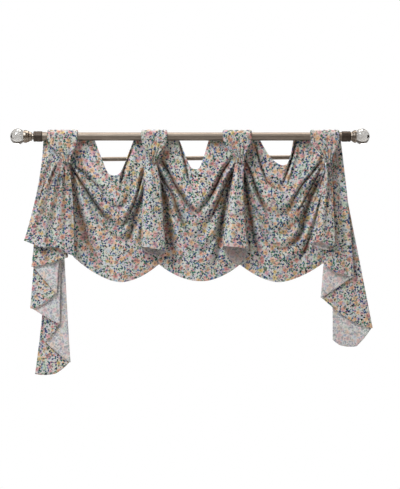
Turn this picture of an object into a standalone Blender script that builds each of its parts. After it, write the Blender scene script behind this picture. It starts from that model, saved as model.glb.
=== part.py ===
"""Window swag of printed cotton on a double curtain rod.

Three draped scoops, two middle horns and two end cascades hang from the front rod by four cloth loops. A
thinner rod runs behind them, and a bracket at each end carries both rods. Metres, +Z up. The wall is the
plane Y = 0 and the room is towards -Y. The origin is on the wall, midway between the brackets, at the
height of the front rod's axis.
"""

import math
from collections import namedtuple

import bmesh
import bpy
import numpy as np

MM = 0.001

# Driving dimensions of the rods, the brackets and the finials
ROD_RADIUS = 12.7 * MM
ROD_OUT = 110 * MM
COLLAR_X = 479.5 * MM
COLLAR_WIDTH = 27 * MM
COLLAR_WALL = 3.3 * MM
BACK_ROD_RADIUS = 6.6 * MM
BACK_ROD_OUT = 55 * MM
BACK_ROD_DROP_LEFT = 69 * MM
BACK_ROD_DROP_RIGHT = 60 * MM
BACK_ROD_HALF = 456 * MM
CRADLE_X = 446 * MM
CRADLE_WIDTH = 12 * MM
CRADLE_WALL = 2.4 * MM
HANGER_RADIUS = 3.5 * MM
HANGER_CORNER = 8 * MM
PLATE_WIDTH = 28 * MM
PLATE_HEIGHT = 28 * MM
PLATE_RISE = 8 * MM
PLATE_THICK = 4 * MM
ARM_WIDTH = 11 * MM
ARM_HEIGHT = 13 * MM
ARM_RISE = 5 * MM
NECK_RADIUS = 9.7 * MM
CUP_RADIUS = 19.8 * MM
CUP_ROOT_RADIUS = 13.3 * MM
GLASS_RADIUS = 25 * MM
GLASS_HALF = 24 * MM
FIT_GAP = 0.3 * MM

# Driving dimensions of the cloth
CLOTH = 1.4 * MM
LOOP_GAP = 0.6 * MM
LOOP_FULLNESS = 5.5 * MM
LOOP_BACK_DROP = 6 * MM
SCOOP_HALF_COLUMNS = 8
SCOOP_STEPS = 2
TURN_POINTS = 5
CASCADE_LEVELS = 9
HORN_COLUMNS = 20
LOOP_COLUMNS = 9

# Where the cloth is pinched together under each loop, and the loop's two edges on the rod
Gather = namedtuple("Gather", "x z loop_left loop_right")
GATHERS = [
    Gather(x=-388, z=-81, loop_left=-449, loop_right=-356),
    Gather(x=-121, z=-78, loop_left=-157, loop_right=-78),
    Gather(x=149, z=-78, loop_left=96, loop_right=185),
    Gather(x=421, z=-81, loop_left=369, loop_right=456),
]

# One fold line of a scoop, in millimetres: how far inside the left and right gathers it starts and at what
# height, its lowest point, its depth at the ends and at the bottom, how round each half hangs, and how much of
# it lies level at the bottom
SWOOP_VALUES = "left_in left_z low_x low_z low_y right_in right_z end_y round_l round_r level"
Swoop = namedtuple("Swoop", SWOOP_VALUES, defaults=(0,))
LEFT_SCOOP = [
    Swoop(76, 10, -243, -121, -106, 54, 10, -93.6, 1.7, 1.7, 0.28),
    Swoop(62, 10, -238, -168, -111, 44, 10, -93.6, 1.7, 1.7, 0.16),
    Swoop(46, 8, -236, -160, -131, 34, 8, -93.6, 1.6, 1.6),
    Swoop(22, -22, -233, -205, -137, 18, -22, -94.8, 1.5, 1.6),
    Swoop(11, -55, -230, -228, -122, 11, -55, -104, 1.4, 1.7),
    Swoop(8, -72, -229, -252, -138, 8, -70, -119, 1.4, 1.8),
    Swoop(5, -80, -229, -279, -121, 5, -77, -106, 1.4, 2.0),
    Swoop(4, -86, -226, -300, -141, 4, -83, -119, 1.45, 2.1),
    Swoop(4, -93, -224, -322, -127, 4, -90, -107, 1.6, 2.2),
    Swoop(5, -106, -222, -345, -139, 4, -102, -117, 1.7, 2.2),
    Swoop(8, -190, -221, -385, -132, -3, -180, -110, 1.8, 2.0),
    Swoop(14, -290, -220, -422, -132, -13, -290, -110, 1.6, 1.7),
    Swoop(19, -375, -220, -453, -131, -21, -395, -110, 1.4, 1.4),
]
MIDDLE_SCOOP = [
    Swoop(73, 10, 12, -102, -104, 91, 10, -93.6, 1.5, 1.5, 0.28),
    Swoop(60, 10, 12, -138, -112, 76, 10, -93.6, 1.5, 1.5, 0.14),
    Swoop(46, 8, 13, -176, -124, 60, 8, -93.6, 1.4, 1.4),
    Swoop(28, -26, 14, -214, -133, 32, -26, -94.8, 1.3, 1.3),
    Swoop(16, -58, 14, -243, -113, 18, -56, -104, 1.15, 1.1),
    Swoop(9, -75, 12, -262, -137, 9, -73, -120, 1.25, 1.2),
    Swoop(7, -82, 16, -316, -120, 7, -80, -106, 1.3, 1.5),
    Swoop(6, -88, 20, -335, -138, 6, -86, -119, 1.5, 1.7),
    Swoop(5, -95, 24, -358, -127, 5, -92, -107, 1.7, 1.9),
    Swoop(5, -108, 25, -376, -137, 5, -104, -117, 1.8, 2.0),
    Swoop(6, -190, 27, -402, -132, 4, -190, -114, 1.8, 1.9),
    Swoop(10, -290, 28, -427, -131, 2, -290, -115, 1.6, 1.6),
    Swoop(15, -395, 28, -450, -130, -2, -397, -115, 1.4, 1.4),
]
RIGHT_SCOOP = [
    Swoop(54, 10, 283, -89, -103, 102, 10, -93.6, 1.8, 3.2),
    Swoop(35, 9, 278, -128, -106, 84, 10, -93.6, 1.5, 2.6),
    Swoop(26, -28, 271, -163, -110, 63, 8, -93.6, 1.3, 2.2),
    Swoop(20, -50, 271, -172, -129, 42, -28, -97, 1.4, 1.8),
    Swoop(13, -64, 272, -214, -134, 24, -56, -108, 1.6, 1.6),
    Swoop(10, -75, 272, -248, -115, 12, -74, -104, 2.1, 1.6),
    Swoop(9, -82, 272, -267, -138, 9, -82, -120, 2.0, 1.7),
    Swoop(6, -88, 273, -306, -121, 6, -88, -106, 2.0, 1.8),
    Swoop(5, -94, 274, -327, -137, 5, -94, -119, 2.0, 1.9),
    Swoop(5, -100, 275, -351, -124, 5, -100, -107, 2.0, 2.0),
    Swoop(5, -112, 275, -372, -139, 5, -112, -117, 2.0, 2.1),
    Swoop(0, -210, 272, -402, -132, 7, -200, -110, 1.8, 1.9),
    Swoop(-2, -300, 269, -428, -131, 10, -300, -110, 1.6, 1.7),
    Swoop(-2.5, -397, 268, -453, -130, 12, -394, -110, 1.4, 1.4),
]

# Levels down a horn, in millimetres: its left and right edges, its front and back, how much lower its right
# edge and its back are than its front
Ring = namedtuple("Ring", "z left right front back right_drop back_drop")
LEFT_HORN = [
    Ring(-73, -133, -109, -133.2, -124.5, 0, 0),
    Ring(-98, -146, -107, -140, -124, 0, 0),
    Ring(-140, -149, -99, -149, -121, 1, 2),
    Ring(-190, -151, -93, -155, -120.5, 3, 5),
    Ring(-245, -154, -89, -160, -120.5, 6, 9),
    Ring(-300, -156, -84, -165, -122, 9, 13),
    Ring(-342, -158, -80, -169, -123, 14, 20),
]
RIGHT_HORN = [
    Ring(-73, 137, 162, -133.2, -124.5, 0, 0),
    Ring(-98, 132, 161, -140, -124, 0, 0),
    Ring(-140, 125, 160, -149, -121, 1, 5),
    Ring(-190, 116, 161, -155, -120.5, 2, 14),
    Ring(-245, 109, 165, -160, -120.5, 4, 26),
    Ring(-300, 101, 170, -165, -122, 6, 38),
    Ring(-340, 96, 177, -169, -123, 9, 50),
]

# Fold lines of the end cascades from the inner edge outwards and then front to back, in millimetres: the
# place of each at the top and at the hem, and how far it bows sideways. A turn is a folded edge.
Fold = namedtuple("Fold", "kind top_x top_y top_z hem_x hem_y hem_z bow")
LEFT_CASCADE = [
    Fold("edge", -396, -124.6, -86, -391, -152, -362, 0),
    Fold("turn", -383, -126.8, -79, -364, -160, -371, 6),
    Fold("soft", -397, -129.6, -80, -404, -173, -349, 0),
    Fold("soft", -409, -126, -66, -435, -164, -341, 0),
    Fold("soft", -426, -116, -46, -461, -172, -348, 2),
    Fold("soft", -446, -101, -26, -488, -161, -336, 8),
    Fold("turn", -464, -93, 8, -517, -158, -325, 12),
    Fold("turn", -399, -121.5, -88, -387, -151, -346, 0),
    Fold("soft", -400, -119.5, -89, -383, -149.5, -376, 0),
    Fold("turn", -466, -104.5, -90, -495, -147, -405, 0),
    Fold("turn", -404, -116.5, -90, -418, -141.5, -488, 4),
    Fold("turn", -468, -99.5, -92, -500, -137, -534, 0),
    Fold("turn", -407, -111.5, -92, -409, -131.5, -583, 0),
    Fold("turn", -452, -95, -94, -460, -127, -636, 0),
    Fold("turn", -410, -106.5, -94, -378, -121.5, -702, -2),
    Fold("soft", -432, -100, -95, -425, -118.5, -738, 6),
    Fold("edge", -446, -92, -96, -488, -117, -739, 12),
]
RIGHT_CASCADE = [
    Fold("edge", 428, -124.6, -86, 424, -147, -354, 0),
    Fold("turn", 417, -126.8, -79, 361, -159, -333, 8),
    Fold("soft", 424, -129.6, -79, 398, -171, -327, 2),
    Fold("turn", 433, -123.5, -74, 441, -160, -341, 0),
    Fold("turn", 429, -119, -84, 407, -141, -341, 0),
    Fold("soft", 430, -117.5, -85, 403, -139, -392, 0),
    Fold("soft", 439, -112, -52, 452, -141, -426, 0),
    Fold("soft", 452, -98, -30, 490, -133, -436, 0),
    Fold("turn", 462, -93, 8, 502, -130, -437, 4),
    Fold("turn", 432, -112, -88, 400, -125, -502, 0),
    Fold("turn", 464, -101, -90, 561, -118, -596, 0),
    Fold("soft", 452, -101, -90, 512, -113, -653, 0),
    Fold("soft", 444, -102, -90, 458, -112, -649, 0),
    Fold("edge", 436, -103, -90, 438, -112, -634, 0),
]
TURN_RADIUS_TOP = 1.25 * MM
TURN_RADIUS_HEM = 2.5 * MM


def empty_scene():
    """Removes every object, so that only the swag is in the scene."""
    for item in list(bpy.data.objects):
        bpy.data.objects.remove(item, do_unlink=True)


def new_material(name, colour, roughness, metallic=0.0, transmission=0.0):
    """A plain material of one colour."""
    material = bpy.data.materials.new(name)
    material.use_nodes = True
    shader = material.node_tree.nodes["Principled BSDF"]
    shader.inputs["Base Color"].default_value = (*colour, 1.0)
    shader.inputs["Roughness"].default_value = roughness
    shader.inputs["Metallic"].default_value = metallic
    shader.inputs["Transmission Weight"].default_value = transmission
    return material


def keep(item, name, collection, material):
    """Names an object, moves it to the collection and gives it its material."""
    item.name = name
    item.data.name = name
    for other in list(item.users_collection):
        other.objects.unlink(item)
    collection.objects.link(item)
    item.data.materials.clear()
    item.data.materials.append(material)
    return item


def smooth(t):
    """A step from 0 to 1 that starts and ends level."""
    return t * t * (3 - 2 * t)


def more_rows(rows, steps):
    """The same rows with others between them, on a smooth curve through each column."""
    ends = [rows[0], *rows, rows[-1]]
    result = []
    for before, start, end, after in zip(ends, ends[1:], ends[2:], ends[3:]):
        for step in range(steps):
            t = step / steps
            slope = end - before
            bend = 2 * before - 5 * start + 4 * end - after
            twist = 3 * (start - end) + after - before
            result.append(start + 0.5 * t * (slope + t * (bend + t * twist)))
    result.append(rows[-1])
    return result


def cloth_sheet(name, rows, collection, material, closed=False):
    """A sheet of cloth through rows of points, with its thickness on both sides of them."""
    across = len(rows[0])
    mesh = bmesh.new()
    grid = [[mesh.verts.new(point) for point in row] for row in rows]
    for upper, lower in zip(grid, grid[1:]):
        for i in range(across if closed else across - 1):
            j = (i + 1) % across
            mesh.faces.new((upper[i], lower[i], lower[j], upper[j]))
    data = bpy.data.meshes.new(name)
    mesh.to_mesh(data)
    mesh.free()
    data.shade_smooth()
    sheet = keep(bpy.data.objects.new(name, data), name, collection, material)
    solid = sheet.modifiers.new("Cloth thickness", "SOLIDIFY")
    solid.thickness = CLOTH
    solid.offset = 0
    return sheet


def sag(steps, roundness, level):
    """How far a fold line has risen towards its end, after a share of its half that lies nearly level."""
    if not level:
        return steps**roundness
    past = steps - level
    rise = past + np.hypot(past, 0.12)
    return (rise - rise[0]) / (rise[-1] - rise[0])


def swoop_line(swoop, left_gather, right_gather):
    """The points of one fold line, from the left gather down to its lowest point and up to the right one."""
    low = np.array([swoop.low_x, swoop.low_y, swoop.low_z])
    left = np.array([left_gather.x + swoop.left_in, swoop.end_y, swoop.left_z])
    right = np.array([right_gather.x - swoop.right_in, swoop.end_y, swoop.right_z])
    steps = np.linspace(0, 1, SCOOP_HALF_COLUMNS + 1)
    halves = []
    for end, roundness in ((left, swoop.round_l), (right, swoop.round_r)):
        share = np.stack([steps, smooth(steps), sag(steps, roundness, swoop.level)], axis=1)
        halves.append(low + (end - low) * share)
    return np.concatenate([halves[0][::-1], halves[1][1:]]) * MM


def make_scoop(name, table, left_gather, right_gather, collection, material):
    """One draped scoop, from its curved top edge through its folds to its hem."""
    rows = [swoop_line(swoop, left_gather, right_gather) for swoop in table]
    return cloth_sheet(name, more_rows(rows, SCOOP_STEPS), collection, material)


def horn_ring(ring):
    """The closed section of a horn at one level."""
    points = []
    for i in range(HORN_COLUMNS):
        turn = 2 * math.pi * i / HORN_COLUMNS
        side, depth = math.cos(turn), math.sin(turn)
        flute = 1 + 0.1 * math.cos(3 * turn)
        x = (ring.left + ring.right) / 2 + (ring.right - ring.left) / 2 * side
        y = (ring.front + ring.back) / 2 + (ring.back - ring.front) / 2 * depth * (flute if depth < 0 else 1)
        z = ring.z - ring.right_drop * (1 + side) / 2 - ring.back_drop * (1 + depth) / 2
        points.append((x * MM, y * MM, z * MM))
    return np.array(points)


def make_horn(name, table, collection, material):
    """A flared horn of cloth, pinched at its top and open at its hem."""
    return cloth_sheet(name, [horn_ring(ring) for ring in table], collection, material, closed=True)


def loop_path():
    """The loop seen from its side: depth, height, share of the way down to the gather, and share of fullness."""
    radius = (ROD_RADIUS + LOOP_GAP + CLOTH / 2) / MM
    axis = -ROD_OUT / MM
    front = [(-139, -84, 1.0, 0.6), (-135.3, -74, 0.9, 0.6), (-131.5, -48, 0.55, 0.8), (-127, -22, 0.2, 0.9)]
    over = []
    for step in range(9):
        angle = math.pi * (1 - step / 8)
        fullness = math.sin(angle) if step > 4 else 1.0
        over.append((axis + radius * math.cos(angle), radius * math.sin(angle), 0.0, fullness))
    back = [(axis + radius, -LOOP_BACK_DROP / MM, 0.0, 0.0)]
    return front + over + back


def make_loop(name, gather, collection, material):
    """A cloth loop that runs from the gather over the front rod and down behind it."""
    half_gather = 12
    axis = -ROD_OUT / MM
    rows = []
    for y, z, narrow, fullness in loop_path():
        left = gather.loop_left + (gather.x - half_gather - gather.loop_left) * smooth(narrow)
        right = gather.loop_right + (gather.x + half_gather - gather.loop_right) * smooth(narrow)
        away = np.array([y - axis, max(z, 0.0)])
        away = away / max(np.hypot(*away), 1e-6)
        row = []
        for i in range(LOOP_COLUMNS):
            across = i / (LOOP_COLUMNS - 1)
            pleat = 0.5 - 0.5 * math.cos(2 * math.pi * 3 * across)
            proud = LOOP_FULLNESS / MM * fullness * pleat
            row.append((left + (right - left) * across, y + away[0] * proud, z + away[1] * proud))
        rows.append(np.array(row) * MM)
    return cloth_sheet(name, rows, collection, material)


def cascade_level(table, down):
    """The section of a cascade at one level, given as a share of the way from its top to its hem."""
    radius = (TURN_RADIUS_TOP + (TURN_RADIUS_HEM - TURN_RADIUS_TOP) * down) / MM
    places = []
    for fold in table:
        x = fold.top_x + (fold.hem_x - fold.top_x) * down + fold.bow * 4 * down * (1 - down)
        y = fold.top_y + (fold.hem_y - fold.top_y) * smooth(down)
        z = fold.top_z + (fold.hem_z - fold.top_z) * down
        places.append(np.array([x, y, z]))
    points = []
    for i, (fold, place) in enumerate(zip(table, places)):
        if fold.kind == "turn":
            side = 1 if fold.hem_x > table[i - 1].hem_x else -1
            quarter = math.copysign(math.pi / 2, table[i + 1].hem_y - table[i - 1].hem_y)
            for angle in np.linspace(-quarter, quarter, TURN_POINTS):
                bend = np.array([side * radius * (math.cos(angle) - 1), radius * math.sin(angle), 0])
                points.append(place + bend)
        else:
            points.append(place)
        if i + 1 < len(table) and abs(table[i + 1].hem_x - fold.hem_x) > 40:
            points.append(None)
    for i, point in enumerate(points):
        if point is None:
            points[i] = (points[i - 1] + points[i + 1]) / 2
    return np.array(points) * MM


def make_cascade(name, table, collection, material):
    """An end cascade, folded back and forth from the gather, each fold hanging lower than the one before."""
    rows = [cascade_level(table, down) for down in np.linspace(0, 1, CASCADE_LEVELS)]
    return cloth_sheet(name, rows, collection, material)


def make_turned(name, profile, steps, collection, material):
    """A turned piece about the X axis, from a profile of distances along the axis and radii."""
    mesh = bmesh.new()
    points = [mesh.verts.new((radius, 0, -along)) for along, radius in profile]
    for start, end in zip(points, points[1:]):
        mesh.edges.new((start, end))
    data = bpy.data.meshes.new(name)
    mesh.to_mesh(data)
    mesh.free()
    item = keep(bpy.data.objects.new(name, data), name, collection, material)
    screw = item.modifiers.new("Turned", "SCREW")
    screw.steps = steps
    screw.render_steps = steps
    screw.use_merge_vertices = True
    screw.merge_threshold = 0.0001
    screw.use_smooth_shade = True
    return item


def lay_along_x(item, x, y, z, side):
    """Turns a piece made about Z so that its profile runs outwards along X on the given side."""
    item.location = (x, y, z)
    item.rotation_euler = (0, side * math.pi / 2 + math.pi, 0)
    return item


def make_ring(name, inner, outer, width, steps, place, collection, material):
    """A plain ring about the X axis, with slightly eased edges."""
    ease = 0.6 * MM
    profile = [
        (-width / 2, inner),
        (-width / 2, outer - ease),
        (-width / 2 + ease, outer),
        (width / 2 - ease, outer),
        (width / 2, outer - ease),
        (width / 2, inner),
        (-width / 2, inner),
    ]
    return lay_along_x(make_turned(name, profile, steps, collection, material), *place, side=1)


def make_tube_rod(name, start, end, radius, steps, collection, material):
    """A straight rod from one point to another, from a curve with filled caps."""
    curve = bpy.data.curves.new(name, "CURVE")
    curve.dimensions = "3D"
    curve.bevel_depth = radius
    curve.bevel_resolution = steps
    curve.use_fill_caps = True
    spline = curve.splines.new("POLY")
    spline.points.add(1)
    spline.points[0].co = (*start, 1)
    spline.points[1].co = (*end, 1)
    return keep(bpy.data.objects.new(name, curve), name, collection, material)


def make_box(name, size, centre, collection, material):
    """A box of the given size."""
    bpy.ops.mesh.primitive_cube_add(size=1, location=centre)
    box = keep(bpy.context.object, name, collection, material)
    for vertex in box.data.vertices:
        vertex.co = [vertex.co[axis] * size[axis] for axis in range(3)]
    return box


def back_rod_height(x):
    """The height of the back rod's axis, which rises a little from left to right."""
    share = (x + BACK_ROD_HALF) / (2 * BACK_ROD_HALF)
    return -(BACK_ROD_DROP_LEFT + (BACK_ROD_DROP_RIGHT - BACK_ROD_DROP_LEFT) * share)


def make_hanger(name, side, collection, material):
    """The bent bar that runs inwards from the bracket arm and down to the back rod's cradle."""
    start_x = COLLAR_X - ARM_WIDTH / 2 - FIT_GAP
    low = back_rod_height(side * CRADLE_X) + BACK_ROD_RADIUS + FIT_GAP + CRADLE_WALL + FIT_GAP
    points = [(start_x, 0.0)]
    for step in range(5):
        angle = math.pi / 2 * step / 4
        x = CRADLE_X + HANGER_CORNER - HANGER_CORNER * math.sin(angle)
        points.append((x, -HANGER_CORNER + HANGER_CORNER * math.cos(angle)))
    points.append((CRADLE_X, low))
    curve = bpy.data.curves.new(name, "CURVE")
    curve.dimensions = "3D"
    curve.bevel_depth = HANGER_RADIUS
    curve.bevel_resolution = 2
    curve.use_fill_caps = True
    spline = curve.splines.new("POLY")
    spline.points.add(len(points) - 1)
    for point, (x, z) in zip(spline.points, points):
        point.co = (side * x, -BACK_ROD_OUT, z, 1)
    return keep(bpy.data.objects.new(name, curve), name, collection, material)


def make_bracket(side, label, collection, dark, nickel):
    """The wall plate, arm, collar, hanger and cradle at one end."""
    x = side * COLLAR_X
    collar_radius = ROD_RADIUS + FIT_GAP + COLLAR_WALL
    arm_front = -ROD_OUT + collar_radius + FIT_GAP
    arm_back = -PLATE_THICK - FIT_GAP
    plate_size = (PLATE_WIDTH, PLATE_THICK, PLATE_HEIGHT)
    arm_size = (ARM_WIDTH, arm_back - arm_front, ARM_HEIGHT)
    make_box("wall_plate_" + label, plate_size, (x, -PLATE_THICK / 2, PLATE_RISE), collection, dark)
    make_box("bracket_arm_" + label, arm_size, (x, (arm_front + arm_back) / 2, ARM_RISE), collection, dark)
    inner = ROD_RADIUS + FIT_GAP
    place = (x, -ROD_OUT, 0)
    make_ring("rod_collar_" + label, inner, collar_radius, COLLAR_WIDTH, 32, place, collection, dark)
    make_hanger("back_rod_hanger_" + label, side, collection, dark)
    cradle_inner = BACK_ROD_RADIUS + FIT_GAP
    place = (side * CRADLE_X, -BACK_ROD_OUT, back_rod_height(side * CRADLE_X))
    outer = cradle_inner + CRADLE_WALL
    make_ring("back_rod_cradle_" + label, cradle_inner, outer, CRADLE_WIDTH, 20, place, collection, nickel)


def make_finial(side, label, neck, cup, collection, nickel, glass):
    """A metal cup on a thin neck at the rod's end, with a glass knob seated on it."""
    start = COLLAR_X + COLLAR_WIDTH / 2 + FIT_GAP
    cup_profile = [
        (0, 0),
        (0, NECK_RADIUS),
        (neck, NECK_RADIUS),
        (neck, CUP_ROOT_RADIUS),
        (neck + cup * 0.45, CUP_ROOT_RADIUS + 3.5 * MM),
        (neck + cup * 0.7, CUP_RADIUS - 1 * MM),
        (neck + cup * 0.85, CUP_RADIUS),
        (neck + cup, CUP_RADIUS - 1 * MM),
        (neck + cup, 0),
    ]
    item = make_turned("finial_cup_" + label, cup_profile, 32, collection, nickel)
    lay_along_x(item, side * start, -ROD_OUT, 0, side)
    seat = start + neck + cup + FIT_GAP
    seat_radius = CUP_RADIUS - 4 * MM
    seat_angle = math.asin(seat_radius / GLASS_RADIUS)
    centre = GLASS_HALF * math.cos(seat_angle)
    glass_profile = [(0, 0)]
    for angle in np.linspace(seat_angle, math.pi, 10):
        glass_profile.append((centre - GLASS_HALF * math.cos(angle), GLASS_RADIUS * math.sin(angle)))
    glass_profile[-1] = (centre + GLASS_HALF, 0)
    item = make_turned("glass_knob_" + label, glass_profile, 24, collection, glass)
    lay_along_x(item, side * seat, -ROD_OUT, 0, side)


def main():
    empty_scene()
    collection = bpy.data.collections.new("window_swag")
    bpy.context.scene.collection.children.link(collection)
    print_cotton = new_material("printed_cotton", (0.62, 0.58, 0.56), 0.9)
    nickel = new_material("brushed_nickel", (0.42, 0.36, 0.31), 0.35, metallic=1.0)
    dark = new_material("dark_bronze", (0.10, 0.08, 0.07), 0.5, metallic=0.6)
    glass = new_material("clear_glass", (0.95, 0.96, 0.97), 0.05, transmission=1.0)

    scoops = (LEFT_SCOOP, MIDDLE_SCOOP, RIGHT_SCOOP)
    labels = ("left", "middle", "right")
    for label, table, left, right in zip(labels, scoops, GATHERS, GATHERS[1:]):
        make_scoop("scoop_" + label, table, left, right, collection, print_cotton)
    make_horn("horn_left", LEFT_HORN, collection, print_cotton)
    make_horn("horn_right", RIGHT_HORN, collection, print_cotton)
    make_cascade("cascade_left", LEFT_CASCADE, collection, print_cotton)
    make_cascade("cascade_right", RIGHT_CASCADE, collection, print_cotton)
    for number, gather in enumerate(GATHERS, start=1):
        make_loop(f"loop_{number}", gather, collection, print_cotton)

    rod_end = COLLAR_X + COLLAR_WIDTH / 2
    ends = ((-rod_end, -ROD_OUT, 0), (rod_end, -ROD_OUT, 0))
    make_tube_rod("front_rod", *ends, ROD_RADIUS, 14, collection, nickel)
    ends = [(x, -BACK_ROD_OUT, back_rod_height(x)) for x in (-BACK_ROD_HALF, BACK_ROD_HALF)]
    make_tube_rod("back_rod", *ends, BACK_ROD_RADIUS, 8, collection, nickel)
    for side, label, neck, cup in ((-1, "left", 6 * MM, 24 * MM), (1, "right", 1 * MM, 16 * MM)):
        make_bracket(side, label, collection, dark, nickel)
        make_finial(side, label, neck, cup, collection, nickel, glass)


main()
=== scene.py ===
"""Looks of the window swag: printed cotton, nickel rods, dark brackets and glass knobs."""

import math
from collections import namedtuple

import bmesh
import bpy
import numpy as np
from bpy.props import FloatProperty, FloatVectorProperty, IntProperty, PointerProperty
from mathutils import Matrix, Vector, noise


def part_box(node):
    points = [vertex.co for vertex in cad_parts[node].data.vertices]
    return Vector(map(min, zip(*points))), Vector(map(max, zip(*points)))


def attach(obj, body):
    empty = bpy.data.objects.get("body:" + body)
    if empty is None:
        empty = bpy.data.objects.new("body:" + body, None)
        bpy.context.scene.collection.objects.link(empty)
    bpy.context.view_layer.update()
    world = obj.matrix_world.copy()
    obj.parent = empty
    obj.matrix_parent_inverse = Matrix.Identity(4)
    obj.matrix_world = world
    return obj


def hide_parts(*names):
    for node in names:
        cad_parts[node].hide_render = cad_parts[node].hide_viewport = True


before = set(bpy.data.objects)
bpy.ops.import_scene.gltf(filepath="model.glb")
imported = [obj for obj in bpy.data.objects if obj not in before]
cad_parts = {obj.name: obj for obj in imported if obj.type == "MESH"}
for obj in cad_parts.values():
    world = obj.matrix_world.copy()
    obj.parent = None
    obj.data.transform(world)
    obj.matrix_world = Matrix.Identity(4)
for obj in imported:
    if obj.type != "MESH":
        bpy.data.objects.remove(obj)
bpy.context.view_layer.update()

bl_info = {
    "name": "Window Swag",
    "version": (1, 0, 0),
    "blender": (4, 5, 0),
    "location": "View3D > Sidebar > Window Swag",
    "description": "Makes a printed cotton window swag on a double curtain rod, with its studio",
    "category": "Add Mesh",
}

MM = 0.001
TINY = 1e-9
BODY = "root"
PIECE_CLEARANCE = 0.3 * MM
WELD_DISTANCE = 1e-6
TURNED_STEPS = 96
SHARP_ANGLE = math.radians(40)

# How much further along the print starts on each new piece, in metres
PRINT_SHIFT = 0.37

# The photograph's size, the column of the wall's middle, the row of the front rod's axis, and a pixel's size
PHOTO_WIDTH, PHOTO_HEIGHT = 400, 489
MIDDLE_COLUMN, ROD_ROW = 192, 136
PIXEL = 3.1 * MM


def srgb(*values):
    """A linear colour from three values of 11 to 255, as on a paint chart."""
    return tuple(((value / 255 + 0.055) / 1.055) ** 2.4 for value in values)


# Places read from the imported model
ROD_LOW, ROD_HIGH = (Vector(corner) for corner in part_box("front_rod"))
ROD_AXIS = (ROD_LOW + ROD_HIGH) / 2
ROD_RADIUS = (ROD_HIGH.y - ROD_LOW.y) / 2
BACK_LOW, BACK_HIGH = (Vector(corner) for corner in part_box("back_rod"))
BACK_RADIUS = (BACK_HIGH.y - BACK_LOW.y) / 2

# Where the cloth is pinched together under each loop, and the loop's two edges on the rod, in millimetres
Gather = namedtuple("Gather", "x z loop_left loop_right")
GATHERS = [
    Gather(x=-388, z=-81, loop_left=-449, loop_right=-356),
    Gather(x=-121, z=-78, loop_left=-157, loop_right=-78),
    Gather(x=149, z=-78, loop_left=96, loop_right=185),
    Gather(x=421, z=-81, loop_left=369, loop_right=457),
]

# One fold line of a scoop, in millimetres: how far inside the left and right gathers it starts and at what
# height, its lowest point, its depth at the ends and at the bottom, how round each half hangs, and how much
# of it lies level at the bottom. The hems are a little rounder than the solids'.
SWOOP_VALUES = "left_in left_z low_x low_z low_y right_in right_z end_y round_l round_r level"
Swoop = namedtuple("Swoop", SWOOP_VALUES, defaults=(0,))
LEFT_SCOOP = [
    Swoop(76, 10, -243, -121, -106, 54, 10, -93.6, 1.7, 1.7, 0.28),
    Swoop(62, 10, -238, -168, -111, 44, 10, -93.6, 1.7, 1.7, 0.16),
    Swoop(46, 8, -236, -160, -131, 34, 8, -93.6, 1.6, 1.6),
    Swoop(22, -22, -233, -205, -137, 18, -22, -94.8, 1.5, 1.6),
    Swoop(11, -55, -230, -228, -122, 11, -55, -104, 1.4, 1.7),
    Swoop(8, -72, -229, -252, -138, 8, -70, -119, 1.4, 1.8),
    Swoop(5, -80, -229, -279, -121, 5, -77, -106, 1.4, 2.0),
    Swoop(4, -86, -226, -300, -141, 4, -83, -119, 1.45, 2.1),
    Swoop(4, -93, -224, -322, -127, 4, -90, -107, 1.6, 2.2),
    Swoop(5, -106, -222, -345, -139, 4, -102, -117, 1.7, 2.2),
    Swoop(8, -190, -221, -385, -132, -3, -180, -110, 1.8, 2.0),
    Swoop(14, -290, -220, -422, -132, -13, -290, -110, 1.7, 1.8),
    Swoop(19, -375, -220, -453, -131, -21, -395, -110, 1.7, 1.8),
]
MIDDLE_SCOOP = [
    Swoop(73, 10, 12, -102, -104, 91, 10, -93.6, 1.5, 1.5, 0.28),
    Swoop(60, 10, 12, -138, -112, 76, 10, -93.6, 1.5, 1.5, 0.14),
    Swoop(46, 8, 13, -176, -124, 60, 8, -93.6, 1.4, 1.4),
    Swoop(28, -26, 14, -214, -133, 32, -26, -94.8, 1.3, 1.3),
    Swoop(16, -58, 14, -243, -113, 18, -56, -104, 1.15, 1.1),
    Swoop(9, -75, 12, -262, -137, 9, -73, -120, 1.25, 1.2),
    Swoop(7, -82, 16, -316, -120, 7, -80, -106, 1.3, 1.5),
    Swoop(6, -88, 20, -335, -138, 6, -86, -119, 1.5, 1.7),
    Swoop(5, -95, 24, -358, -127, 5, -92, -107, 1.7, 1.9),
    Swoop(5, -108, 25, -376, -137, 5, -104, -117, 1.8, 2.0),
    Swoop(6, -190, 27, -402, -132, 4, -190, -114, 1.8, 1.9),
    Swoop(10, -290, 28, -427, -131, 2, -290, -115, 1.8, 1.8),
    Swoop(15, -395, 28, -450, -130, -2, -397, -115, 2.0, 1.9),
]
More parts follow.
